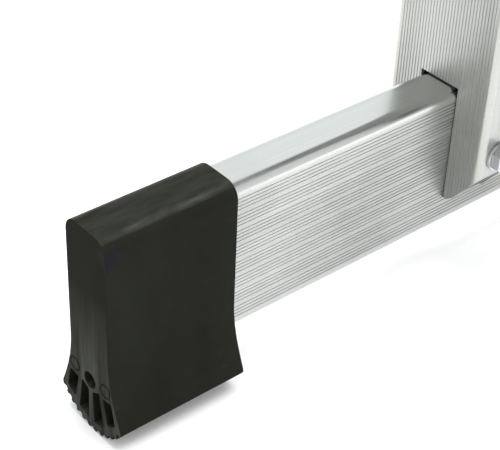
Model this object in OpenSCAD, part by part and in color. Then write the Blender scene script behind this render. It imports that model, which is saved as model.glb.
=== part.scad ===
// Two-section extension ladder with a wide stabiliser bar, upright and closed.
// X runs along the rungs, Y towards the wall, Z up. The climber stands on the -Y side.
// The origin is on the floor under the middle of the ladder.

/* [Sections] */
// Outer width of the base section
base_w = 420; // [400:5:460]
// Height of the base section's stile tops above the floor
base_top = 2640; // [2620:5:2680]
// Height of the base stiles' lower ends above the floor
base_bottom = 50; // [46:1:56]
// Gap between the base section and the fly section
section_gap = 8; // [8:0.5:10]
// Gap across the ladder between a base stile and a fly stile
side_gap = 8; // [8:0.5:10]
// Length of a fly stile
fly_len = 2490; // [2484:2:2498]
// Height of the fly stiles' lower ends above the floor when closed
fly_bottom = 138; // [136:1:140]

/* [Rungs] */
// Number of rungs in each section
rung_count = 9; // [7:1:9]
// Distance from one rung to the next
rung_pitch = 280; // [270:1:280]
// Width and height of a rung
rung_size = 28; // [26:0.5:30]
// Height of the lowest base rung's centre above the floor
first_rung = 280; // [280:1:290]
// Travel of the fly section from its closing stop to the latches' first resting place
first_lift = 60; // [58:1:62]

/* [Stiles] */
// Thickness of a stile, across the ladder
stile_t = 25; // [24:0.5:28]
// Depth of a base stile, front to back
base_d = 68.6; // [66:0.1:72]
// Depth of a fly stile, front to back
fly_d = 58; // [56:0.5:60]
// Wall of every aluminium section
wall = 2; // [1.6:0.1:2.4]
// Distance between two ribs' grooves
rib_pitch = 1.96; // [1.8:0.01:2.2]

/* [Stabiliser bar] */
// Distance over the two foot caps
bar_span = 854; // [800:2:900]
// Height of the bar
bar_h = 84; // [82:0.5:85]
// Thickness of the bar
bar_t = 25; // [24:0.5:26]

/* [Foot caps] */
// Length of a foot cap along the bar
cap_len = 73.2; // [60:0.2:80]
// Thickness of a foot cap
cap_t = 30; // [29.5:0.5:32]
// Height of a foot cap's top above the centre of its round sole
cap_rise = 90; // [89:0.5:92]
// Radius of the round sole over its teeth
sole_r = 28.3; // [27.5:0.1:29]
// Number of teeth across the sole
tooth_count = 12; // [8:2:16]

/* [Latches] */
// Radius of a latch's pivot pin
pin_r = 4; // [3.5:0.1:4.5]
// Thickness of a latch
latch_t = 10; // [9:0.5:10]
// Depth of the latch's hook behind the rung
hook_depth = 9; // [8:0.5:10]

/* [Hidden] */

$fn = 48;

// Clearances: a fixed part against its neighbour, a sliding part, and the latch in its bracket.
fit = 0.1;
slide_fit = 0.5;
latch_fit = 1;
// How far an outline runs past the solid that it cuts.
past = 1;

// Sheet steel of the guides and brackets.
sheet = 3;

// Fastener sizes.
bolt_r = 4;
bolt_head_r = 7.5;
bolt_head_h = 5.3;
nut_h = 6.5;
washer_r = 8;
washer_h = 1.6;
rivet_r = 2.4;
rivet_head_r = 4.6;
rivet_head_h = 1.3;
rivet_grip = 3;

// The base and fly sections' middle planes, with the whole ladder centred on the origin.
guide_out = 0.5 + 2.5 + sheet;
front_reach = fly_d / 2 + slide_fit + 2 + sheet;
back_reach = base_d / 2 + guide_out;
section_step = base_d / 2 + section_gap + fly_d / 2;
base_y = (front_reach + section_step - back_reach) / 2;
fly_y = base_y - section_step;

// Stile faces across the ladder.
base_out = base_w / 2;
base_in = base_out - stile_t;
fly_out = base_in - side_gap;
fly_in = fly_out - stile_t;

// Angle from one sole tooth to the next, half a tooth's flat top, and the depth between teeth.
tooth_step = 10.2;
tooth_half = 1.4;
tooth_depth = 1.7;

// Heights.
cap_top = cap_rise + sole_r * cos(tooth_step / 2 - tooth_half);
bar_top = cap_top - (cap_t - bar_t) / 2;
notch_top = bar_top + 0.8;
fly_first_rung = first_rung - first_lift;
fly_top = fly_bottom + fly_len;
travel = 5 * rung_pitch + first_lift + 80;
guide_z = 330;
guide_h = 60;
top_guide_z = 2556;
top_guide_h = 56;
stop_h = 25;

// Radius of the bar's corners and of the stiles' corners, and the steps in one corner.
bar_corner_r = 5.5;
corner_r = 4;
corner_steps = 8;
groove_w = 0.5;
groove_depth = 0.25;

// Latch: heights and distances behind its pivot, which is midway between the two sections' rungs.
rung_gap = section_step - rung_size;
pivot_y = fly_y + rung_size / 2 + rung_gap / 2;
seat_drop = 20;
pivot_z = fly_first_rung + rung_size / 2 + seat_drop;
mouth_u = rung_gap / 2 - 0.5;
mouth_end_u = mouth_u + rung_size + 1;
boss_r = 11;
latch_x = 142;
cheek_t = 4;
inner_cheek_x = latch_x - latch_t / 2 - latch_fit - cheek_t;
outer_cheek_x = fly_in - cheek_t;
tail_drop = 7;

// Stop pin under the latch's tail, placed from the pivot.
stop_u = -22;
stop_v = -10.4;
stop_pin_r = 3;

// Outlines of the bracket's cheeks about the pivot, and the rivets in the outer one.
outer_cheek = [[-44, -16], [13, -16], [13, 14], [4, 72], [-44, 72]];
inner_cheek = [[-44, -16], [13, -16], [13, 14], [-4, 40], [-44, 40]];
latch_rivet_places = [
    [pivot_y - 10, pivot_z + 46],
    [pivot_y - 30, pivot_z + 46],
    [pivot_y - 20, pivot_z + 60]
];

// Torsion spring: its wire, its turns, and the length of pin that it takes.
wire_r = 0.7;
coil_r = pin_r + 1.2 + wire_r;
turn_count = 5;
turn_pitch = 1.3;
spring_room = 8;

// Bolts through the bar, and the plug that holds their nuts in its rear leg.
bolt_z = 83;
nut_seat = 24;
bolt_x = base_in + stile_t / 2;
plug_top = 134;

// Foot cap: its corners, its flare, and the two slots on one side of its end face, from its top.
cap_corner_r = 8;
flare_top = -70;
flare_bottom = -103.2;
flare_half = 23.6;
flare_steps = 8;
flare_curve = 1.7;
inner_slot = [[1.6, -94], [6.7, -91], [9.8, -110.5], [2.3, -112.8]];
outer_slot = [[9.8, -92.1], [16.3, -91.1], [19.2, -102.9], [13.3, -106.8]];
slot_depth = 60;
// Ring marks that the mould leaves: their depth, outer radius and width.
mark_depth = 0.6;
mark_r = 3.9;
mark_w = 0.6;

// Top guide: its rivets, and how far its lips reach over the fly stile.
top_rivet_heights = [top_guide_z + 14, top_guide_z + top_guide_h - 14];
top_rivet_ys = [base_y - 18, base_y + 4];
guide_lip = 24;

// Fly shoe, and the shelf that it stands on when the ladder is closed.
shoe_floor = 9.6;
shoe_h = 46;
landing_z = fly_bottom - shoe_floor - 0.4;
landing_rivet_z = 154;
landing_rivet_ys = [base_y - 20, base_y + 12];

// Lower guide: its rivets, and its room for the rungs' collars.
guide_rivet_y = fly_y + 4;
guide_rivet_heights = [guide_z + 15, guide_z + guide_h - 15];
collar_room = 3;

// Travel stops.
stop_z = guide_z + guide_h + 2 + travel + 0.5;
stop_rivet_z = stop_z + stop_h / 2;
stop_t = 4.5;

// Points of one rounded corner, starting at the angle `from`.
function corner(x, y, r, from) =
    [for (i = [0 : corner_steps]) let (a = from + 90 * i / corner_steps) [x + r * cos(a), y + r * sin(a)]];

// Points of the grooves on a face at x, centred at each of ys. side is 1 on the +X face, -1 on the -X face.
function grooves(x, ys, side) = [
    for (y = ys) each [
        [side * x, y - side * groove_w / 2],
        [side * (x - groove_depth), y - side * groove_w / 4],
        [side * (x - groove_depth), y + side * groove_w / 4],
        [side * x, y + side * groove_w / 2]
    ]
];

// Groove centres of a stile of depth d, evenly spaced about its middle.
function stile_grooves(d) =
    let (n = floor((d / 2 - corner_r - groove_w / 2) / rib_pitch)) [for (i = [-n : n]) i * rib_pitch];

// Groove centres of the bar: eight bands of four grooves.
function bar_grooves() = [
    for (band = [-3.5 : 1 : 3.5], i = [-1.5 : 1 : 1.5]) band * 9.08 + i * 1.95
];

// Each corner of an outline eased by the length c.
function unit(v) = v / norm(v);
function eased(points, c) = [
    for (i = [0 : len(points) - 1])
    let (
        p = points[i],
        before = unit(points[(i + len(points) - 1) % len(points)] - p),
        after = unit(points[(i + 1) % len(points)] - p)
    )
    each [p + c * before, p + 0.3 * c * (before + after), p + c * after]
];

// Outline of a box section t by d, with grooves on its +X and -X faces.
module section_outline(t, d, r, right_grooves, left_grooves) {
    x = t / 2;
    y = d / 2;
    polygon(concat(
        corner(x - r, -y + r, r, -90),
        grooves(x, right_grooves, 1),
        corner(x - r, y - r, r, 0),
        corner(-x + r, y - r, r, 90),
        grooves(x, [for (i = [len(left_grooves) - 1 : -1 : 0]) left_grooves[i]], -1),
        corner(-x + r, -y + r, r, 180)
    ));
}

// Plain rounded rectangle.
module plate_outline(t, d, r) {
    section_outline(t, d, r, [], []);
}

// Hollow section: a ribbed outline with an even wall.
module tube_outline(t, d, r, right_grooves, left_grooves) {
    difference() {
        section_outline(t, d, r, right_grooves, left_grooves);
        plate_outline(t - 2 * wall, d - 2 * wall, r - wall);
    }
}

// Extrusion along X from x0 to x1. The outline's x becomes Y and its y becomes Z.
module along_x(x0, x1) {
    translate([x0, 0, 0]) rotate([90, 0, 90]) linear_extrude(height = x1 - x0) children();
}

// Cylinder along X, from x0 to x1, at (y, z).
module rod_x(x0, x1, y, z, r) {
    translate([x0, y, z]) rotate([0, 90, 0]) cylinder(h = x1 - x0, r = r);
}

// Cylinder along Y, from y0 to y1, at (x, z).
module rod_y(y0, y1, x, z, r) {
    translate([x, y1, z]) rotate([90, 0, 0]) cylinder(h = y1 - y0, r = r);
}

// The right-hand parts are drawn on the +X side, and the left-hand ones are their mirror images.
module left() {
    mirror([1, 0, 0]) children();
}

module both() {
    children();
    left() children();
}

// Heights of a section's rungs.
function rung_heights(first) = [for (i = [0 : rung_count - 1]) first + i * rung_pitch];

// ---- Base section ----

// Wide box tube across the foot of the ladder, ribbed on its front and back.
module stabiliser_bar() {
    half = bar_span / 2 - 5 - fit;
    color("gainsboro") difference() {
        translate([0, base_y, bar_top - bar_h / 2])
            along_x(-half, half)
                tube_outline(bar_t, bar_h, bar_corner_r, bar_grooves(), bar_grooves());
        for (side = [-1, 1])
            rod_y(base_y - bar_t, base_y + bar_t, side * bolt_x, bolt_z, bolt_r + fit);
    }
}

// Outline of a foot cap about the middle of its top.
function sole_point(r, a) = [r * cos(a), r * sin(a) - cap_rise];

function sole_outline() = [
    for (i = [0 : tooth_count - 1])
    let (
        a = 270 + (i - (tooth_count - 1) / 2) * tooth_step,
        gap_a = a - tooth_step / 2,
        gap_r = sole_r - tooth_depth
    )
    each concat(
        i == 0 ? [] : [sole_point(gap_r, gap_a - tooth_half), sole_point(gap_r, gap_a + tooth_half)],
        [sole_point(sole_r, a - tooth_half), sole_point(sole_r, a + tooth_half)]
    )
];

// Point of the flare, t = 0 where it starts and 1 at its lower end. side is 1 in front, -1 behind.
function flare_point(t, side) = [
    side * (cap_t / 2 + (flare_half - cap_t / 2) * pow(t, flare_curve)),
    flare_top + (flare_bottom - flare_top) * t
];

function cap_outline() = concat(
    sole_outline(),
    [for (i = [flare_steps : -1 : 0]) flare_point(i / flare_steps, 1)],
    corner(cap_t / 2 - cap_corner_r, -cap_corner_r, cap_corner_r, 0),
    corner(-cap_t / 2 + cap_corner_r, -cap_corner_r, cap_corner_r, 90),
    [for (i = [0 : flare_steps]) flare_point(i / flare_steps, -1)]
);

// Rubber shoe on the right end of the bar.
module foot_cap() {
    end = bar_span / 2;
    color([0.19, 0.19, 0.17]) translate([0, base_y, cap_top]) difference() {
        along_x(end - cap_len, end) polygon(cap_outline());
        translate([0, 0, -(cap_top - bar_top) - bar_h / 2])
            along_x(end - cap_len - past, end - 5)
                plate_outline(bar_t + 2 * fit, bar_h + 2 * fit, bar_corner_r);
        rod_x(end - slot_depth, end + past, 0.2, -87.4, 4.4);
        for (side = [-1, 1]) {
            difference() {
                rod_x(end - mark_depth, end + past, side * 12.2, -85.6, mark_r);
                rod_x(end - mark_depth - past, end + 2 * past, side * 12.2, -85.6, mark_r - mark_w);
            }
            along_x(end - slot_depth, end + past) scale([side, 1]) polygon(eased(inner_slot, 0.9));
            along_x(end - slot_depth, end + past) scale([side, 1]) polygon(eased(outer_slot, 0.9));
        }
    }
}

// Lower corner of a base stile, cut away in front of and behind the bar.
module lower_corners(extra) {
    x0 = base_in - past;
    x1 = base_out + past;
    for (side = [-1, 1])
        along_x(x0, x1) polygon([
            [base_y + side * (13.5 + extra), base_bottom - past],
            [base_y + side * (19 + extra), base_bottom + 2.7],
            [base_y + side * (base_d / 2 + past), base_bottom + 23.5 + extra],
            [base_y + side * (base_d / 2 + past), base_bottom - past]
        ]);
}

// Right-hand base stile, notched from below over the bar and pierced for the rungs.
module base_stile() {
    x = base_in + stile_t / 2;
    hole = rung_size + 2 * fit;
    color("gainsboro") difference() {
        translate([x, base_y, base_bottom])
            linear_extrude(height = base_top - base_bottom)
                tube_outline(stile_t, base_d, corner_r, stile_grooves(base_d), []);
        translate([x, base_y, (base_bottom - past + notch_top) / 2])
            cube([stile_t + 2 * past, bar_t + 0.8, notch_top - base_bottom + past], center = true);
        lower_corners(0);
        for (z = rung_heights(first_rung))
            translate([x, base_y, z]) cube([stile_t + 2 * past, hole, hole], center = true);
        rod_y(base_y - base_d / 2 - past, base_y, x, bolt_z, bolt_r + fit);
        for (z = top_rivet_heights, y = top_rivet_ys)
            rod_x(base_in - past, base_in + rivet_grip, y, z, rivet_r + fit / 2);
        for (y = landing_rivet_ys)
            rod_x(base_in - past, base_in + rivet_grip, y, landing_rivet_z, rivet_r + fit / 2);
        back = base_y + base_d / 2;
        rod_y(back - rivet_grip, back + past, x, stop_rivet_z, rivet_r + fit / 2);
    }
}

// One square rung with its flared collars, from a section whose stiles lie between inner and outer.
module rung(inner, outer, y, z) {
    collar = rung_size + 3;
    hole = rung_size - 3.2;
    difference() {
        union() {
            translate([0, y, z]) along_x(-outer - 1.4, outer + 1.4) rung_outline();
            for (side = [-1, 1]) {
                translate([side * (outer + 0.05 + 0.7), y, z]) cube([1.4, collar, collar], center = true);
                translate([side * (inner - 0.05 - 1), y, z]) cube([2, collar, collar], center = true);
            }
        }
        translate([0, y, z]) cube([2 * outer + 10, hole, hole], center = true);
    }
}

// Rung outline, with non-slip grooves along its tread.
module rung_outline() {
    half = rung_size / 2;
    tread = [for (i = [-2.5 : 1 : 2.5]) i * 3.6];
    polygon(concat(
        corner(half - 2, -half + 2, 2, -90),
        corner(half - 2, half - 2, 2, 0),
        [
            for (i = [len(tread) - 1 : -1 : 0]) each [
                [tread[i] + 0.8, half],
                [tread[i] + 0.4, half - 0.7],
                [tread[i] - 0.4, half - 0.7],
                [tread[i] - 0.8, half]
            ]
        ],
        corner(-half + 2, half - 2, 2, 90),
        corner(-half + 2, -half + 2, 2, 180)
    ));
}

module base_rungs() {
    color("gainsboro")
        for (z = rung_heights(first_rung))
            rung(base_in, base_out, base_y, z);
}

// Black saddle inside the stile's lower end, in front of, behind and above the bar, with a nut's pocket.
module base_plug() {
    x = base_in + stile_t / 2;
    color([0.1, 0.1, 0.1]) difference() {
        translate([x, base_y, base_bottom + 1])
            linear_extrude(height = plug_top - base_bottom - 1)
                plate_outline(stile_t - 2 * wall - 2 * fit, base_d - 2 * wall - 2 * fit, corner_r - wall);
        translate([x, base_y, (base_bottom + bar_top) / 2 - 10 + fit])
            cube([stile_t, bar_t + 4 * fit, bar_top - base_bottom + 20], center = true);
        lower_corners(-0.8);
        rod_y(base_y - base_d / 2 - past, base_y + nut_seat + past, x, bolt_z, bolt_r + fit);
        hexagon(x, base_y + base_d / 2, bolt_z, base_d / 2 - nut_seat, bolt_head_r + fit);
    }
}

// End cap for the top of a stile: a plate with a plug below it.
module top_cap(inner, y, z, depth) {
    x = inner + stile_t / 2;
    translate([x, y, z + fit]) linear_extrude(height = 4) plate_outline(stile_t + 1.6, depth + 1.6, corner_r);
    translate([x, y, z - 25])
        linear_extrude(height = 26)
            plate_outline(stile_t - 2 * wall - 2 * fit, depth - 2 * wall - 2 * fit, corner_r - wall);
}

module base_top_cap() {
    color([0.1, 0.1, 0.1]) top_cap(base_in, base_y, base_top, base_d);
}

// Hexagon along -Y from (x, y, z), with r over its corners.
module hexagon(x, y, z, h, r) {
    translate([x, y, z]) rotate([90, 0, 0]) rotate(30) cylinder(h = h, r = r, $fn = 6);
}

// Hexagon-headed bolts from in front, through the stiles and the bar.
module bar_bolts() {
    head_y = base_y - base_d / 2 - washer_h - fit;
    color("silver") both() {
        rod_y(head_y, base_y + nut_seat + nut_h + 1, bolt_x, bolt_z, bolt_r);
        hexagon(bolt_x, head_y + fit / 2, bolt_z, bolt_head_h, bolt_head_r);
    }
}

module bar_washers() {
    back = base_y - base_d / 2 - fit / 2;
    color("silver") both() difference() {
        rod_y(back - washer_h, back, bolt_x, bolt_z, washer_r);
        rod_y(back - 2 * washer_h, back + past, bolt_x, bolt_z, bolt_r + fit);
    }
}

// Nuts, pressed into the plugs from behind before these go into the stiles.
module bar_nuts() {
    back = base_y + nut_seat + nut_h;
    color("silver") both() difference() {
        hexagon(bolt_x, back, bolt_z, nut_h - fit, bolt_head_r);
        rod_y(back - nut_h - past, back + past, bolt_x, bolt_z, bolt_r + 0.05);
    }
}

// Blind rivet along X through a sheet whose face is at x, with its head towards -X.
module rivet_x(x, y, z) {
    rod_x(x - rivet_head_h, x - 0.02, y, z, rivet_head_r);
    rod_x(x - 0.5, x + sheet + wall, y, z, rivet_r);
}

// Steel channel on the base stile that holds the fly stile to it.
module top_guide() {
    inner = base_in - sheet - 0.05;
    front = fly_y - fly_d / 2 - slide_fit - 2;
    back = fly_y + fly_d / 2 + slide_fit + 2;
    color([0.62, 0.64, 0.66]) difference() {
        translate([0, 0, top_guide_z]) linear_extrude(height = top_guide_h) union() {
            translate([inner, front - sheet]) square([sheet, base_y + 14 - front + sheet]);
            translate([inner - guide_lip, front - sheet]) square([guide_lip + 1, sheet]);
            translate([inner - guide_lip, back]) square([guide_lip + 1, sheet]);
        }
        for (z = top_rivet_heights, y = top_rivet_ys)
            rod_x(inner - past, base_in + past, y, z, rivet_r + fit / 2);
    }
}

// Plastic slider inside the top guide, relieved where the rungs' collars pass.
module top_liner() {
    outer = base_in - sheet - 0.1;
    inner = fly_out + slide_fit;
    front = fly_y - fly_d / 2 - slide_fit;
    back = fly_y + fly_d / 2 + slide_fit;
    relief = rung_size / 2 + 3.5;
    color([0.1, 0.1, 0.1]) translate([0, 0, top_guide_z - 2])
        linear_extrude(height = top_guide_h + 4) difference() {
            union() {
                translate([inner, front - 1.95]) square([outer - inner, back - front + 3.9]);
                translate([outer - guide_lip, front - 1.95]) square([guide_lip, 1.95]);
                translate([outer - guide_lip, back]) square([guide_lip, 1.95]);
            }
            translate([inner - 1, fly_y - relief]) square([3, 2 * relief]);
        }
}

module top_guide_rivets() {
    color("silver") both() for (z = top_rivet_heights, y = top_rivet_ys)
        rivet_x(base_in - sheet - 0.05, y, z);
}

// Shelf that the fly stile's shoe stands on when the ladder is closed.
module landing_bracket() {
    inner = base_in - sheet - 0.05;
    shelf_front = fly_y - fly_d / 2 + 3;
    color([0.62, 0.64, 0.66]) difference() {
        union() {
            along_x(inner, base_in - 0.05) polygon([
                [shelf_front, landing_z - sheet],
                [base_y + 24, landing_z - sheet],
                [base_y + 24, landing_z + 44],
                [base_y - 32, landing_z + 44],
                [fly_y, landing_z + 6],
                [shelf_front, landing_z]
            ]);
            translate([fly_in - 2, shelf_front, landing_z - sheet])
                cube([inner - fly_in + 3, fly_d - 6, sheet]);
        }
        for (y = landing_rivet_ys)
            rod_x(inner - past, base_in + past, y, landing_rivet_z, rivet_r + fit / 2);
    }
}

module landing_rivets() {
    color("silver") both() for (y = landing_rivet_ys)
        rivet_x(base_in - sheet - 0.05, y, landing_rivet_z);
}

// Block on the back of each base stile that the lower guide meets at the top of its travel.
module travel_stops() {
    y = base_y + base_d / 2 + 0.05;
    x = base_in + stile_t / 2;
    color([0.1, 0.1, 0.1]) both() difference() {
        translate([x, y, stop_z]) rotate([-90, 0, 0]) translate([0, -stop_h / 2, 0])
            linear_extrude(height = stop_t) plate_outline(16, stop_h, 2.5);
        rod_y(y - past, y + stop_t + past, x, stop_rivet_z, rivet_r + fit / 2);
    }
}

module travel_stop_rivets() {
    y = base_y + base_d / 2 + 0.05 + stop_t;
    x = base_in + stile_t / 2;
    color("silver") both() {
        rod_y(y + 0.02, y + rivet_head_h, x, stop_rivet_z, rivet_head_r);
        rod_y(y - stop_t - wall, y + 0.5, x, stop_rivet_z, rivet_r);
    }
}

// ---- Fly section ----

// Right-hand fly stile, pierced for the rungs and the latch bracket's rivets.
module fly_stile() {
    x = fly_in + stile_t / 2;
    hole = rung_size + 2 * fit;
    color("gainsboro") difference() {
        translate([x, fly_y, fly_bottom])
            linear_extrude(height = fly_len)
                tube_outline(stile_t, fly_d, corner_r, stile_grooves(fly_d), []);
        for (z = rung_heights(fly_first_rung))
            translate([x, fly_y, z]) cube([stile_t + 2 * past, hole, hole], center = true);
        for (p = latch_rivet_places)
            rod_x(fly_in - past, fly_in + rivet_grip, p[0], p[1], rivet_r + fit / 2);
        for (z = guide_rivet_heights)
            rod_x(fly_out - rivet_grip, fly_out + past, guide_rivet_y, z, rivet_r + fit / 2);
    }
}

module fly_rungs() {
    color("gainsboro")
        for (z = rung_heights(fly_first_rung))
            rung(fly_in, fly_out, fly_y, z);
}

// Rubber shoe round the fly stile's lower end.
module fly_shoe() {
    x = fly_in + stile_t / 2;
    color([0.12, 0.12, 0.12]) translate([x, fly_y, fly_bottom]) difference() {
        translate([0, 0, -shoe_floor])
            linear_extrude(height = shoe_h)
                plate_outline(stile_t + 5, fly_d + 5, corner_r + 2);
        linear_extrude(height = shoe_h) plate_outline(stile_t + 2 * fit, fly_d + 2 * fit, corner_r);
    }
}

module fly_top_cap() {
    color([0.12, 0.12, 0.12]) top_cap(fly_in, fly_y, fly_top, fly_d);
}

// Steel channel on the fly stile that reaches round the base stile.
module lower_guide() {
    side_x = fly_out + 0.05;
    front = base_y - base_d / 2 - guide_out;
    outer = base_out + collar_room;
    back = base_y + base_d / 2 + guide_out;
    color([0.62, 0.64, 0.66]) difference() {
        translate([0, 0, guide_z]) linear_extrude(height = guide_h) union() {
            translate([side_x, fly_y - 8]) square([sheet, front + sheet - fly_y + 8]);
            translate([side_x, front]) square([outer + sheet - side_x, sheet]);
            translate([outer, front]) square([sheet, back - front]);
            translate([base_in + 8, back - sheet]) square([outer + 1 - base_in - 8, sheet]);
        }
        for (z = guide_rivet_heights)
            rod_x(fly_out - past, fly_out + sheet + past, guide_rivet_y, z, rivet_r + fit / 2);
    }
}

// Plastic slider inside the lower guide, relieved where the rungs' collars pass.
module lower_liner() {
    outer = base_out + collar_room - 0.05;
    front = base_y - base_d / 2 - guide_out + sheet + 0.05;
    back = base_y + base_d / 2 + guide_out - sheet - 0.05;
    relief = rung_size / 2 + 3.5;
    inner = base_out + slide_fit;
    skin = 0.9;
    color([0.1, 0.1, 0.1]) translate([0, 0, guide_z - 2]) linear_extrude(height = guide_h + 4) union() {
        for (side = [-1, 1]) {
            y0 = side < 0 ? front : base_y + relief;
            y1 = side < 0 ? base_y - relief : back;
            translate([inner, y0]) square([outer - inner, y1 - y0]);
        }
        translate([outer - skin, front]) square([skin, back - front]);
        translate([base_in + 2, front]) square([outer - base_in - 2, 2.45]);
        translate([base_in + 8, back - 2.45]) square([outer - base_in - 8, 2.45]);
    }
}

module lower_guide_rivets() {
    color("silver") both() for (z = guide_rivet_heights) {
        x = fly_out + sheet + 0.05;
        rod_x(x + 0.02, x + rivet_head_h, guide_rivet_y, z, rivet_head_r);
        rod_x(x - sheet - wall, x + 0.5, guide_rivet_y, z, rivet_r);
    }
}

// ---- Latches ----

// Bracket riveted to the fly stile, with the latch between its two cheeks.
module latch_bracket() {
    color([0.62, 0.64, 0.66]) translate([0, pivot_y, pivot_z]) difference() {
        union() {
            along_x(outer_cheek_x - 0.05, fly_in - 0.05) polygon(eased(outer_cheek, 5));
            along_x(inner_cheek_x, inner_cheek_x + cheek_t) polygon(eased(inner_cheek, 5));
            along_x(inner_cheek_x + 1, outer_cheek_x + 1)
                polygon([[-44, 12], [-44 + cheek_t, 12], [-44 + cheek_t, 35], [-44, 35]]);
        }
        rod_x(inner_cheek_x - past, fly_in + past, 0, 0, pin_r + 0.05);
        rod_x(inner_cheek_x - past, fly_in + past, stop_u, stop_v, stop_pin_r + 0.05);
        for (p = latch_rivet_places)
            rod_x(outer_cheek_x - past, fly_in + past, p[0] - pivot_y, p[1] - pivot_z, rivet_r + fit / 2);
    }
}

module latch_rivets() {
    color("silver") both() for (p = latch_rivet_places) {
        rod_x(outer_cheek_x - 0.05 - rivet_head_h, outer_cheek_x - 0.07, p[0], p[1], rivet_head_r);
        rod_x(outer_cheek_x - 0.5, fly_in + wall, p[0], p[1], rivet_r);
    }
}

// Pin that the latch turns on, long enough to carry its spring, with a head at its free end.
module latch_pin() {
    x0 = inner_cheek_x - spring_room;
    color("silver") union() {
        rod_x(x0, fly_in + 1, pivot_y, pivot_z, pin_r);
        rod_x(x0 - 2, x0 + 0.1, pivot_y, pivot_z, pin_r + 2.5);
    }
}

// Pin below the latch's tail that keeps the hook from turning up.
module latch_stop_pins() {
    color("silver") both()
        rod_x(inner_cheek_x - 1.5, fly_in - 0.1, pivot_y + stop_u, pivot_z + stop_v, stop_pin_r);
}

// Outline of the latch about its pivot: tail, arm, and the hook that drops behind a rung.
function latch_outline() = eased([
    [-30, -tail_drop], [-10, -tail_drop], [-4, -13], [8, -14], [mouth_u - 3, -seat_drop],
    [mouth_end_u, -seat_drop], [mouth_end_u, -seat_drop - hook_depth],
    [mouth_end_u + 8, -seat_drop - hook_depth], [mouth_end_u + 9, -6], [mouth_end_u + 3, 0],
    [10, 9], [-8, 10], [-14, 4], [-30, 4]
], 1.5);

module latch() {
    color([0.24, 0.25, 0.26]) translate([0, pivot_y, pivot_z]) difference() {
        union() {
            along_x(latch_x - latch_t / 2, latch_x + latch_t / 2) polygon(latch_outline());
            rod_x(latch_x - latch_t / 2, latch_x + latch_t / 2, 0, 0, boss_r);
        }
        rod_x(latch_x - latch_t, latch_x + latch_t, 0, 0, pin_r + 0.06);
    }
}

// Torsion spring round the pin, drawn as touching turns with two straight legs.
module latch_spring() {
    x0 = inner_cheek_x - 1.2;
    leg_r = wire_r - 0.1;
    last = x0 - (turn_count - 1) * turn_pitch;
    color("silver") translate([0, pivot_y, pivot_z]) union() {
        translate([x0, 0, 0]) rotate([0, -90, 0]) rotate_extrude() union()
            for (i = [0 : turn_count - 1])
                translate([coil_r, i * turn_pitch]) circle(r = wire_r);
        rod_y(-14, -coil_r + 0.3, x0, 0, leg_r);
        rod_y(coil_r - 0.3, 12, last, 0, leg_r);
    }
}

stabiliser_bar();
left() foot_cap();  // left_foot_cap
foot_cap();  // right_foot_cap
left() base_stile();  // left_base_stile
base_stile();  // right_base_stile
base_rungs();
left() base_plug();  // left_base_plug
base_plug();  // right_base_plug
left() base_top_cap();  // left_base_top_cap
base_top_cap();  // right_base_top_cap
bar_bolts();
bar_washers();
bar_nuts();
left() top_guide();  // left_top_guide
top_guide();  // right_top_guide
left() top_liner();  // left_top_liner
top_liner();  // right_top_liner
top_guide_rivets();
left() landing_bracket();  // left_landing_bracket
landing_bracket();  // right_landing_bracket
landing_rivets();
travel_stops();
travel_stop_rivets();
left() fly_stile();  // left_fly_stile
fly_stile();  // right_fly_stile
fly_rungs();
left() fly_shoe();  // left_fly_shoe
fly_shoe();  // right_fly_shoe
left() fly_top_cap();  // left_fly_top_cap
fly_top_cap();  // right_fly_top_cap
left() lower_guide();  // left_lower_guide
lower_guide();  // right_lower_guide
left() lower_liner();  // left_lower_liner
lower_liner();  // right_lower_liner
lower_guide_rivets();
left() latch_bracket();  // left_latch_bracket
latch_bracket();  // right_latch_bracket
latch_rivets();
left() latch_pin();  // left_latch_pin
latch_pin();  // right_latch_pin
latch_stop_pins();
left() latch();  // left_latch
latch();  // right_latch
left() latch_spring();  // left_latch_spring
latch_spring();  // right_latch_spring
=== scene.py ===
"""Looks, floor, light and camera for the extension ladder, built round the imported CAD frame."""
import math
from collections import namedtuple

import bpy
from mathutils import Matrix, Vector


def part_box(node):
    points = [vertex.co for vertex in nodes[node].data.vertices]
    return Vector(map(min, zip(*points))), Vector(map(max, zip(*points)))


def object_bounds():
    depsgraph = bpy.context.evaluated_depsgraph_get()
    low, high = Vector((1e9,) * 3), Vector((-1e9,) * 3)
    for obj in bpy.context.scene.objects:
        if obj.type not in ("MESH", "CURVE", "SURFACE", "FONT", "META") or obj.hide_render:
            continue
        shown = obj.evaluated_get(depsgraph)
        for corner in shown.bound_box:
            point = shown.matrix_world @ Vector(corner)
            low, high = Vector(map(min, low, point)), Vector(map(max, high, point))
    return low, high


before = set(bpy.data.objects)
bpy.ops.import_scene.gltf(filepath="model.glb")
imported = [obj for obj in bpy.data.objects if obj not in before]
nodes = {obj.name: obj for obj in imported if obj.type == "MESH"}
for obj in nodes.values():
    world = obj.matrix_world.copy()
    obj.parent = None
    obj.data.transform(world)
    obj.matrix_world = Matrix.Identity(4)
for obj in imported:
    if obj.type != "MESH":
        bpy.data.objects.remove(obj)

MM = 0.001
cad_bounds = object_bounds()


# ---- Node graph helpers ----

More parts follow.
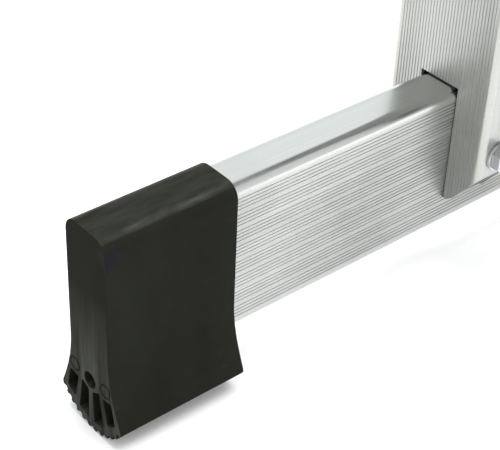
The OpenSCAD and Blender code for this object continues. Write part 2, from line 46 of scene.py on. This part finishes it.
class Shader:
    """A new material with its Principled shader, and short calls for adding nodes."""

    def __init__(self, name, **sockets):
        self.material = bpy.data.materials.new(name)
        self.material.use_nodes = True
        self.tree = self.material.node_tree
        self.bsdf = self.tree.nodes["Principled BSDF"]
        for key, value in sockets.items():
            self.bsdf.inputs[key.replace("_", " ")].default_value = value
        self.place = self.add("ShaderNodeTexCoord").outputs["Object"]

    def add(self, kind, values=None, **settings):
        made = self.tree.nodes.new(kind)
        for key, value in settings.items():
            setattr(made, key, value)
        for key, value in (values or {}).items():
            if isinstance(value, bpy.types.NodeSocket):
                self.tree.links.new(value, made.inputs[key])
            else:
                made.inputs[key].default_value = value
        return made

    def link(self, output, socket):
        self.tree.links.new(output, self.bsdf.inputs[socket])

    def stretched(self, scale):
        """Object coordinates scaled by a factor for each axis, for a grain that runs along one of them."""
        return self.add("ShaderNodeMapping", {"Vector": self.place, "Scale": scale}).outputs["Vector"]

    def noise(self, scale, vector=None, detail=4.0, rough=0.55):
        values = {"Vector": vector or self.place, "Scale": scale, "Detail": detail, "Roughness": rough}
        return self.add("ShaderNodeTexNoise", values).outputs["Fac"]

    def ramp(self, fac, low, high, colours):
        """A colour ramp between two positions, from the first of two colours to the second."""
        made = self.add("ShaderNodeValToRGB", {"Fac": fac})
        for stop, place, colour in zip(made.color_ramp.elements, (low, high), colours):
            stop.position = place
            stop.color = (*colour, 1.0)
        return made.outputs["Color"]

    def level(self, fac, low, high, to_low, to_high):
        """The value fac, taken from low..high to to_low..to_high and held inside it."""
        values = {"Value": fac, "From Min": low, "From Max": high, "To Min": to_low, "To Max": to_high}
        return self.add("ShaderNodeMapRange", values).outputs["Result"]

    def math(self, operation, first, second=0.0):
        return self.add("ShaderNodeMath", {0: first, 1: second}, operation=operation).outputs["Value"]

    def axis(self, name):
        """The object coordinate along one axis, in metres."""
        return self.add("ShaderNodeSeparateXYZ", {"Vector": self.place}).outputs[name.upper()]

    def off(self, name, middle):
        """Distance along one axis from a plane at middle."""
        return self.math("ABSOLUTE", self.math("SUBTRACT", self.axis(name), middle))

    def mix(self, fac, first, second, blend="MIX"):
        made = self.add("ShaderNodeMix", data_type="RGBA", blend_type=blend)
        for index, value in ((0, fac), (6, first), (7, second)):
            if isinstance(value, bpy.types.NodeSocket):
                self.tree.links.new(value, made.inputs[index])
            elif index:
                made.inputs[index].default_value = (*value, 1.0)
            else:
                made.inputs[index].default_value = value
        return made.outputs[2]

    def bump(self, *layers):
        """Bump from (height, strength, depth in metres) layers, one over another."""
        normal = None
        for height, strength, depth in layers:
            values = {"Height": height, "Strength": strength, "Distance": depth}
            if normal:
                values["Normal"] = normal
            normal = self.add("ShaderNodeBump", values).outputs["Normal"]
        self.link(normal, "Normal")


# ---- Materials ----

def scaled(tint, factor):
    """A colour made paler or darker by a factor."""
    return tuple(min(1.0, v * factor) for v in tint)


# Scale of a noise along each axis, for an extrusion along X or Z: fine lines, wider bands, patches of grime
# and painted shade.
LINES = {"x": (2.0, 420.0, 420.0), "z": (420.0, 420.0, 2.0)}
BANDS = {"x": (2.0, 92.4, 92.4), "z": (92.4, 92.4, 2.0)}
PATCHES = {"x": (18.0, 1.0, 60.0), "z": (60.0, 60.0, 18.0)}
NICKS = (260.0, 260.0, 90.0)

# Depth of a groove and radius of a section's corners, as the CAD model has them.
GROOVE_DEPTH = 0.25 * MM
CORNER = {"bar": 5.5 * MM, "stile": 4.0 * MM}

# Distances from the ladder's middle between which the grime and painted shade in the bar's grooves fade to 35
# per cent.
GROOVE_FADE = (215 * MM, 320 * MM)

MILL_TINT = (0.55, 0.558, 0.543)
STILE_TINT = (0.465, 0.472, 0.455)
RUNG_TINT = (0.46, 0.467, 0.455)
# Dark grey for grime and painted shade in the grooves and recesses, and for greying the ribbed faces.
SHADE_AND_GRIME = (0.10, 0.10, 0.095)
CORNER_YELLOW = (0.43, 0.43, 0.365)
NICK = (0.16, 0.15, 0.12)

# A ribbed face: its distance from middle on depth_axis, and its half width about centre on width_axis.
Ribs = namedtuple("Ribs", "depth_axis middle face width_axis centre half")


def stile_ribs(name):
    """The ribbed face of a stile: its outer side, which is the same distance out on both stiles."""
    low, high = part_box(name)
    return Ribs("x", 0.0, high[0], "y", (low[1] + high[1]) / 2, (high[1] - low[1]) / 2 - CORNER["stile"])


def bar_ribs():
    """The ribbed faces of the bar: its front and its back."""
    low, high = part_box("stabiliser_bar")
    middle = [(a + b) / 2 for a, b in zip(low, high)]
    half = [(b - a) / 2 for a, b in zip(low, high)]
    return Ribs("y", middle[1], half[1], "z", middle[2], half[2] - CORNER["bar"])


def in_grooves(s, ribs):
    """1 in the grooves of a ribbed face and wherever it is set deeper, where grime and painted shade go, and
    0 on its ribs and its rounded corners.
    """
    depth = s.off(ribs.depth_axis, ribs.middle)
    deep = s.level(depth, ribs.face - 0.8 * GROOVE_DEPTH, ribs.face - 0.1 * GROOVE_DEPTH, 1.0, 0.0)
    within = s.level(s.off(ribs.width_axis, ribs.centre), ribs.half - 0.3 * MM, ribs.half, 1.0, 0.0)
    return s.math("MULTIPLY", deep, within)


def soiled_and_shaded(s, colour, dull, grain, marks, along, ribs, grime_and_shade):
    """The colour and roughness with a duller, greyer ribbed face, and with grime and painted shade in its
    grooves and recesses.
    """
    width = s.off(ribs.width_axis, ribs.centre)
    ribbed = s.level(width, ribs.half - 1.5 * MM, ribs.half + 1.5 * MM, 1.0, 0.0)
    dull = s.math("ADD", dull, s.math("MULTIPLY", ribbed, 0.12))
    greyed = s.math("MULTIPLY", ribbed, s.level(marks, 0.35, 0.65, 0.12, 0.26))
    colour = s.mix(greyed, colour, SHADE_AND_GRIME)
    # Grime and painted shade in the grooves and recesses, in patches, and on the bar fading towards its ends.
    grime_and_shade_mask = in_grooves(s, ribs)
    patches = s.level(s.noise(1.0, s.stretched(PATCHES[along]), 3.0), 0.38, 0.62, 0.2, 1.15)
    groove_darkness = s.math("MULTIPLY", s.level(grain, 0.3, 0.7, 0.6 * grime_and_shade, 0.9 * grime_and_shade), patches)
    if along == "x":
        groove_darkness = s.math("MULTIPLY", groove_darkness, s.level(s.off("x", 0.0), *GROOVE_FADE, 1.0, 0.35))
    colour = s.mix(s.math("MULTIPLY", grime_and_shade_mask, groove_darkness), colour, SHADE_AND_GRIME)
    return colour, s.math("ADD", dull, s.math("MULTIPLY", grime_and_shade_mask, 0.3))


def corner_lined(s, colour, ribs, corner_line):
    """The colour with a patchy yellowish line, broken by dark nicks, on the corners beside the ribbed face.
    """
    width = s.off(ribs.width_axis, ribs.centre)
    depth = s.off(ribs.depth_axis, ribs.middle)
    beside = s.level(width, ribs.half - 0.5 * MM, ribs.half + 0.7 * MM, 0.0, corner_line)
    outer = s.level(depth, ribs.face - 3.5 * MM, ribs.face - 1.5 * MM, 0.0, 1.0)
    spread = s.level(s.noise(5.0, detail=3.0), 0.35, 0.62, 0.25, 1.0)
    corner = s.math("MULTIPLY", s.math("MULTIPLY", beside, outer), spread)
    nicks = s.noise(1.0, s.stretched(NICKS), 4.0, 0.7)
    return s.mix(corner, colour, s.mix(s.level(nicks, 0.62, 0.72, 0.0, 0.8), CORNER_YELLOW, NICK))


def aluminium(name, along, tint=MILL_TINT, rough=(0.23, 0.37), ribs=None, grime_and_shade=0.9, corner_line=0.0):
    """Mill-finish extrusion: bright, with soft die lines along its length and dull handling marks."""
    s = Shader(name, Metallic=1.0)
    grain = s.noise(1.0, s.stretched(LINES[along]), 3.0, 0.6)
    bands = s.noise(1.0, s.stretched(BANDS[along]), 2.0)
    marks = s.noise(14.0, detail=5.0)
    shades = scaled(tint, 0.91), scaled(tint, 1.08)
    lined = s.mix(0.5, s.ramp(grain, 0.3, 0.7, shades), s.ramp(bands, 0.3, 0.7, shades))
    colour = s.mix(s.level(marks, 0.55, 0.75, 0.0, 0.3), lined, scaled(tint, 0.9))
    dull = s.level(marks, 0.42, 0.68, *rough)
    if ribs:
        colour, dull = soiled_and_shaded(s, colour, dull, grain, marks, along, ribs, grime_and_shade)
    if corner_line:
        colour = corner_lined(s, colour, ribs, corner_line)
    s.link(colour, "Base Color")
    s.link(s.math("ADD", dull, s.level(grain, 0.3, 0.7, -0.03, 0.04)), "Roughness")
    s.bump((grain, 0.05, 0.03 * MM), (bands, 0.1, 0.06 * MM))
    return s.material


# Rubber colours: pale for dust scuffs, the painted highlight on the upper corners and the painted floor
# reflection low on the ends; dark for the painted shade on the end faces; violet for the scuff.
RUBBER_DUST_AND_SHEEN = (0.052, 0.054, 0.048)
SHADED_END_RUBBER = (0.005, 0.0055, 0.0015)
SCUFF = (0.014, 0.0115, 0.020)


def rubber(name, tint=(0.0125, 0.0132, 0.0100)):
    """Moulded black rubber: satin, finely pebbled, with dust scuffs, a painted highlight and wear on its
    upper corners, painted shade on its end faces and a painted reflection of the floor low on its ends.
    """
    s = Shader(name, Specular_IOR_Level=0.01)
    pebble = s.noise(1900.0, detail=2.0)
    flow = s.noise(1.0, s.stretched((26.0, 26.0, 9.0)), 5.0)
    scuffs = s.noise(1.0, s.stretched((60.0, 60.0, 340.0)), 6.0, 0.7)
    streaks = s.noise(1.0, s.stretched((40.0, 190.0, 16.0)), 4.0)
    tone = s.ramp(flow, 0.3, 0.72, (scaled(tint, 0.85), scaled(tint, 1.3)))
    rubbed = s.mix(s.level(scuffs, 0.6, 0.78, 0.0, 0.2), tone, RUBBER_DUST_AND_SHEEN)
    # Painted highlight, with wear: the upper rounded corners, and less the flat tops, are mixed paler in
    # patches.
    normal = s.add("ShaderNodeNewGeometry").outputs["Normal"]
    facing = s.add("ShaderNodeSeparateXYZ", {"Vector": normal}).outputs
    rising = s.level(facing["Z"], 0.72, 0.9, 0.0, 1.0)
    edge = s.math("MULTIPLY", rising, s.level(facing["Z"], 0.93, 1.0, 1.0, 0.3))
    patches = s.level(streaks, 0.35, 0.6, 0.2, 1.0)
    topped = s.mix(s.math("MULTIPLY", edge, patches), rubbed, RUBBER_DUST_AND_SHEEN)
    # Painted shade: the end faces are mixed darker.
    end = s.level(s.math("ABSOLUTE", facing["X"]), 0.9, 1.0, 0.0, 1.0)
    shaded_ends = s.mix(s.math("MULTIPLY", end, 0.85), topped, SHADED_END_RUBBER)
    # Painted reflection of the floor: the ends are paler low down, in streaks.
    low_end = s.math("MULTIPLY", s.level(s.axis("z"), 34 * MM, 84 * MM, 1.0, 0.0), end)
    floor_reflection = s.math("MULTIPLY", low_end, s.level(streaks, 0.35, 0.65, 0.2, 1.0))
    s.link(scuffed(s, s.mix(floor_reflection, shaded_ends, RUBBER_DUST_AND_SHEEN)), "Base Color")
    s.link(s.level(flow, 0.3, 0.7, 0.28, 0.4), "Roughness")
    s.bump((pebble, 0.1, 0.06 * MM), (flow, 0.08, 0.4 * MM))
    return s.material


def scuffed(s, colour):
    """The rubber's colour with the dark violet scuff on the left foot cap's upper front corner."""
    low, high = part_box("left_foot_cap")
    place = (low[0] + 2 * MM, low[1] + 9 * MM, high[2] - 9 * MM)
    away = s.add("ShaderNodeVectorMath", {0: s.place, 1: place}, operation="DISTANCE").outputs["Value"]
    ragged = s.math("ADD", away, s.level(s.noise(240.0), 0.3, 0.7, -3 * MM, 3 * MM))
    return s.mix(s.level(ragged, 2 * MM, 8 * MM, 0.7, 0.0), colour, SCUFF)


def plastic(name, tint=(0.018, 0.018, 0.018)):
    """Injection-moulded black plastic with a faint texture."""
    s = Shader(name)
    flow = s.noise(30.0, detail=4.0)
    s.link(s.ramp(flow, 0.3, 0.7, (scaled(tint, 0.8), scaled(tint, 1.5))), "Base Color")
    s.link(s.level(flow, 0.3, 0.7, 0.32, 0.46), "Roughness")
    s.bump((s.noise(2400.0, detail=1.0), 0.15, 0.05 * MM))
    return s.material


def zinc(name, tint=(0.52, 0.54, 0.565), rough=(0.3, 0.5)):
    """Zinc-plated steel: cool, faintly mottled, with fine pressing scratches."""
    s = Shader(name, Metallic=1.0)
    cells = s.add("ShaderNodeTexVoronoi", {"Vector": s.place, "Scale": 160.0}, feature="F1")
    mottle = s.level(cells.outputs["Distance"], 0.1, 0.6, 0.0, 0.2)
    cloud = s.noise(45.0, detail=5.0)
    tone = s.ramp(cloud, 0.3, 0.7, (scaled(tint, 0.82), scaled(tint, 1.12)))
    s.link(s.mix(mottle, tone, scaled(tint, 0.75)), "Base Color")
    s.link(s.level(cloud, 0.3, 0.7, *rough), "Roughness")
    s.bump((s.noise(1.0, s.stretched((90.0, 90.0, 900.0)), 3.0), 0.1, 0.05 * MM))
    return s.material


def painted(name, tint=(0.045, 0.048, 0.052)):
    """Grey paint over cast steel, with a light orange-peel."""
    s = Shader(name, Coat_Weight=0.25, Coat_Roughness=0.2)
    cloud = s.noise(60.0, detail=5.0)
    s.link(s.ramp(cloud, 0.3, 0.7, (scaled(tint, 0.8), scaled(tint, 1.3))), "Base Color")
    s.link(s.level(cloud, 0.3, 0.7, 0.34, 0.5), "Roughness")
    s.bump((s.noise(700.0, detail=3.0), 0.25, 0.1 * MM))
    return s.material


def stile_aluminium(name, stile):
    """The stiles' aluminium, with the ribbed face where the named stile has it."""
    return aluminium(name, "z", STILE_TINT, (0.26, 0.42), stile_ribs(stile), grime_and_shade=0.08, corner_line=0.8)


MATERIALS = {
    "bar": aluminium("bar_aluminium", "x", ribs=bar_ribs()),
    "base_stile": stile_aluminium("base_stile_aluminium", "right_base_stile"),
    "fly_stile": stile_aluminium("fly_stile_aluminium", "right_fly_stile"),
    "rung": aluminium("rung_aluminium", "x", RUNG_TINT, (0.26, 0.42)),
    "rubber": rubber("foot_rubber"),
    "plastic": plastic("black_plastic"),
    "zinc": zinc("zinc_steel"),
    "fastener": zinc("fastener_steel", (0.58, 0.59, 0.605), (0.22, 0.36)),
    "latch": painted("latch_paint"),
}


# ---- CAD nodes ----

def look_of(name):
    """The material and the width of the edge rounding, in mm, of a CAD node."""
    if name == "stabiliser_bar":
        return "bar", 0.0
    if name.endswith("stile"):
        return name.split("_", 1)[1], 0.0
    if name.endswith("_rungs"):
        return "rung", 0.15
    if "foot_cap" in name or "shoe" in name:
        return "rubber", 0.5
    if any(word in name for word in ("plug", "top_cap", "liner", "travel_stops")):
        return "plastic", 0.4
    if any(word in name for word in ("rivets", "bolts", "nuts", "washers", "pin", "spring")):
        return "fastener", 0.25
    if name in ("left_latch", "right_latch"):
        return "latch", 0.8
    return "zinc", 0.5


def modifier(node, kind, **settings):
    """Adds a modifier of a kind to a node, with its settings."""
    made = node.modifiers.new(kind.lower(), kind)
    for key, value in settings.items():
        setattr(made, key, value)


def dress(name):
    """Gives a CAD node its material, welds its facets, and rounds its edges or keeps its ribs sharp."""
    node = nodes[name]
    look, rounding = look_of(name)
    node.data.materials.clear()
    node.data.materials.append(MATERIALS[look])
    modifier(node, "WELD", merge_threshold=0.002 * MM)
    if rounding:
        modifier(node, "DECIMATE", decimate_type="DISSOLVE", angle_limit=math.radians(0.5))
        edges = {"limit_method": "ANGLE", "angle_limit": math.radians(35)}
        modifier(node, "BEVEL", width=rounding * MM, segments=2, **edges)
    else:
        modifier(node, "EDGE_SPLIT", use_edge_sharp=False, split_angle=math.radians(25))
    modifier(node, "WEIGHTED_NORMAL", keep_sharp=True)
    for polygon in node.data.polygons:
        polygon.use_smooth = True


for name in nodes:
    dress(name)


# ---- Floor, light and camera ----

FLOOR_SIZE = 30.0
FLOOR_WHITES = ((0.95, 0.95, 0.95), (0.965, 0.965, 0.965))
LAMP_PLACE = (0.9, -0.3, 5.0)
LAMP_TARGET = (-0.35, 0.0, 0.0)
LAMP_SIZE = 4.6
LAMP_WATTS = 380.0


def floor():
    """Large white floor under the feet. It glows a little, so that it joins the white surroundings."""
    bpy.ops.mesh.primitive_plane_add(size=FLOOR_SIZE, location=(0, 0, cad_bounds[0][2]))
    ground = bpy.context.object
    ground.name = "floor"
    s = Shader("floor_white", Roughness=0.9, Emission_Color=(1.0, 1.0, 1.0, 1.0), Emission_Strength=0.06)
    s.link(s.ramp(s.noise(3.0), 0.3, 0.7, FLOOR_WHITES), "Base Color")
    ground.data.materials.append(s.material)


def softbox(name, place, target, size, power):
    """Square lamp aimed at a target, for soft shadows. Metal reflects the studio walls, and not the lamp."""
    light = bpy.data.lights.new(name, "AREA")
    light.shape = "SQUARE"
    light.size = size
    light.energy = power
    thing = bpy.data.objects.new(name, light)
    bpy.context.scene.collection.objects.link(thing)
    thing.visible_glossy = False
    thing.location = place
    thing.rotation_euler = (Vector(target) - Vector(place)).to_track_quat("-Z", "Y").to_euler()


# Studio walls, as direction, half angle in degrees and colour: a bright one behind, a dark one at the right.
BRIGHT_WALL = ((0.60, 0.62, 0.50), 46.0, (1.28, 1.33, 1.34))
DARK_WALL = ((0.74, -0.02, 0.67), 28.0, (0.02, 0.10, 0.20))
# Width of a wall's soft edge, in degrees.
WALL_EDGE = 12.0
STUDIO_WHITE = (1.05, 1.06, 1.055)


def surroundings(colour):
    """Even white studio light with one brighter wall and one dark one, whose edges are soft."""
    world = bpy.data.worlds.new("studio")
    bpy.context.scene.world = world
    world.use_nodes = True
    tree = world.node_tree

    def add(kind, values, **settings):
        made = tree.nodes.new(kind)
        for key, value in settings.items():
            setattr(made, key, value)
        for key, value in values.items():
            if isinstance(value, bpy.types.NodeSocket):
                tree.links.new(value, made.inputs[key])
            else:
                made.inputs[key].default_value = value
        return made

    seen = tree.nodes.new("ShaderNodeTexCoord").outputs["Generated"]
    result = colour
    for direction, angle, tone in (BRIGHT_WALL, DARK_WALL):
        towards = {0: seen, 1: Vector(direction).normalized()}
        facing = add("ShaderNodeVectorMath", towards, operation="DOT_PRODUCT")
        edges = {
            "Value": facing.outputs["Value"],
            "From Min": math.cos(math.radians(angle)),
            "From Max": math.cos(math.radians(max(1.0, angle - WALL_EDGE))),
        }
        inside = add("ShaderNodeMapRange", edges, interpolation_type="SMOOTHSTEP").outputs["Result"]
        first = result if isinstance(result, bpy.types.NodeSocket) else (*result, 1.0)
        blend = {0: inside, 6: first, 7: (*tone, 1.0)}
        result = add("ShaderNodeMix", blend, data_type="RGBA").outputs[2]
    tree.links.new(result, tree.nodes["Background"].inputs["Color"])


# The camera's place from the top of the left foot cap's outer end, and its turns in degrees about X, Y and Z.
CAP_TO_CAMERA = Vector((-269.8, -416.9, 369.2)) * MM
CAMERA_TURNS = (53.512, -2.057, -39.576)
LENS_MM = 103.7


def camera():
    """Close view of the left foot cap from in front, outside and above."""
    low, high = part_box("left_foot_cap")
    bar_low, bar_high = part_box("stabiliser_bar")
    corner = Vector((low[0], (bar_low[1] + bar_high[1]) / 2, high[2]))
    data = bpy.data.cameras.new("camera")
    data.lens = LENS_MM
    data.clip_start = 0.05
    thing = bpy.data.objects.new("camera", data)
    bpy.context.scene.collection.objects.link(thing)
    thing.location = corner + CAP_TO_CAMERA
    thing.rotation_euler = [math.radians(turn) for turn in CAMERA_TURNS]
    bpy.context.scene.camera = thing


floor()
surroundings(STUDIO_WHITE)
softbox("overhead", LAMP_PLACE, LAMP_TARGET, LAMP_SIZE, LAMP_WATTS)
camera()
bpy.context.scene.view_settings.view_transform = "Standard"
